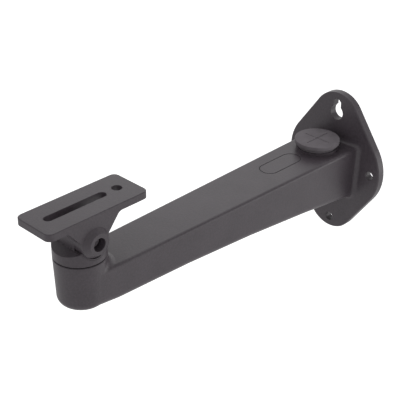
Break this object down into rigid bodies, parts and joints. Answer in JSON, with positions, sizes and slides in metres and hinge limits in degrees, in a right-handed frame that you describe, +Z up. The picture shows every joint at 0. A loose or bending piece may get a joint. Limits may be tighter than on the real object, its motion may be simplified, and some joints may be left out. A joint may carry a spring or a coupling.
{
  "type": "camera wall bracket",
  "caption": "Cast wall bracket: a lobed wall plate, a tapered hollow arm with a round cable grommet, and a head that pans and tilts a slotted camera plate.",
  "frame": {"origin": "middle of the wall plate's back face, halfway between the two side fixing holes", "axes": "+Z up, -Y out from the wall along the arm, +X to the side of the tilt screw's head"},
  "size_m": [0.088, 0.2969, 0.1212],
  "materials": {
    "powder_coat": "matt dark grey powder coat on cast aluminium",
    "rubber": "matt",
    "washer_plastic": "matt black",
    "zinc_steel": "zinc plated",
    "black_steel": "black oxide"
  },
  "bodies": {
    "arm": {"arm_casting": "powder_coat", "cable_grommet": "rubber", "pan_friction_washer": "washer_plastic"},
    "head": {"pan_turntable": "powder_coat", "pan_bolt": "zinc_steel", "pan_spring_washer": "zinc_steel", "pan_flat_washer": "zinc_steel", "tilt_screw": "black_steel", "tilt_nut": "zinc_steel"},
    "plate": {"camera_plate": "powder_coat"}
  },
  "joints": [
    {"name": "pan", "type": "hinge", "parent": "arm", "child": "head", "pos_m": [0, -0.262, 0.02765], "axis": [0, 0, 1], "continuous": true},
    {"name": "tilt", "type": "hinge", "parent": "head", "child": "plate", "pos_m": [0, -0.262, 0.0434], "axis": [1, 0, 0], "range_deg": [-40, 40]}
  ]
}
